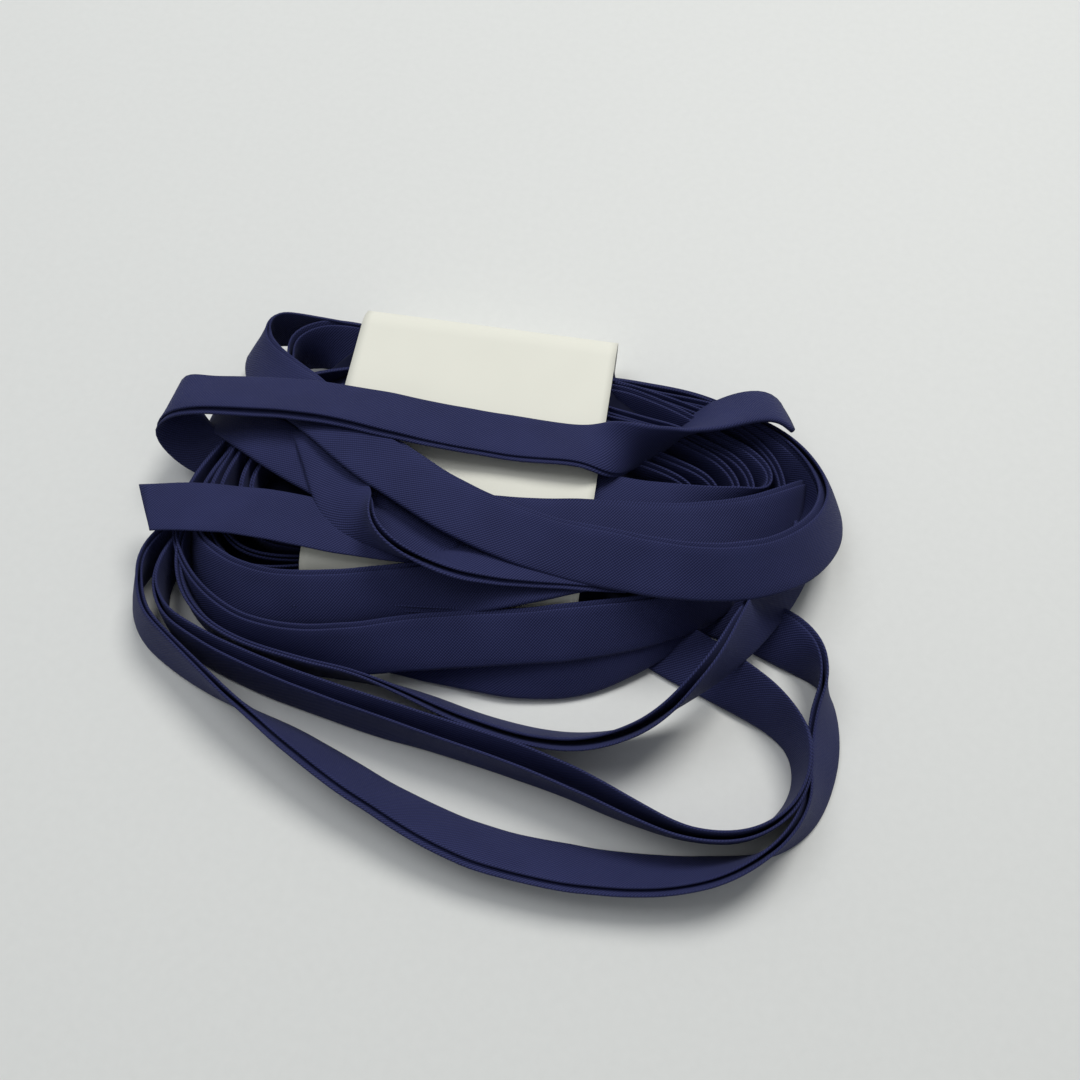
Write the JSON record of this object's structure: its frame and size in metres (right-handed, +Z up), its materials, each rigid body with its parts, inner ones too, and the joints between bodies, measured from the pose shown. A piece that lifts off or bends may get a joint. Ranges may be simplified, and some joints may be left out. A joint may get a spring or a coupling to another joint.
{
  "type": "bundle of bias tape",
  "caption": "Wound hank of folded bias tape held by a plain paper band, its front turns sprung loose in long loops and a cut end lying free.",
  "frame": {"origin": "middle of the bounding box, on the table the hank lies on", "axes": "+X along the hank's length towards the end where the loops turn back, -Y to the side the loose loops lie on, +Z up out of the table"},
  "size_m": [0.1554, 0.1228, 0.0275],
  "materials": {
    "tape": "matt woven cotton with a slight sheen",
    "tape_end": "matt woven cotton with a slight sheen",
    "paper": "smooth uncoated paper"
  },
  "bodies": {
    "root": {"hank": "tape", "free_end": "tape_end", "band": "paper"}
  },
  "joints": []
}
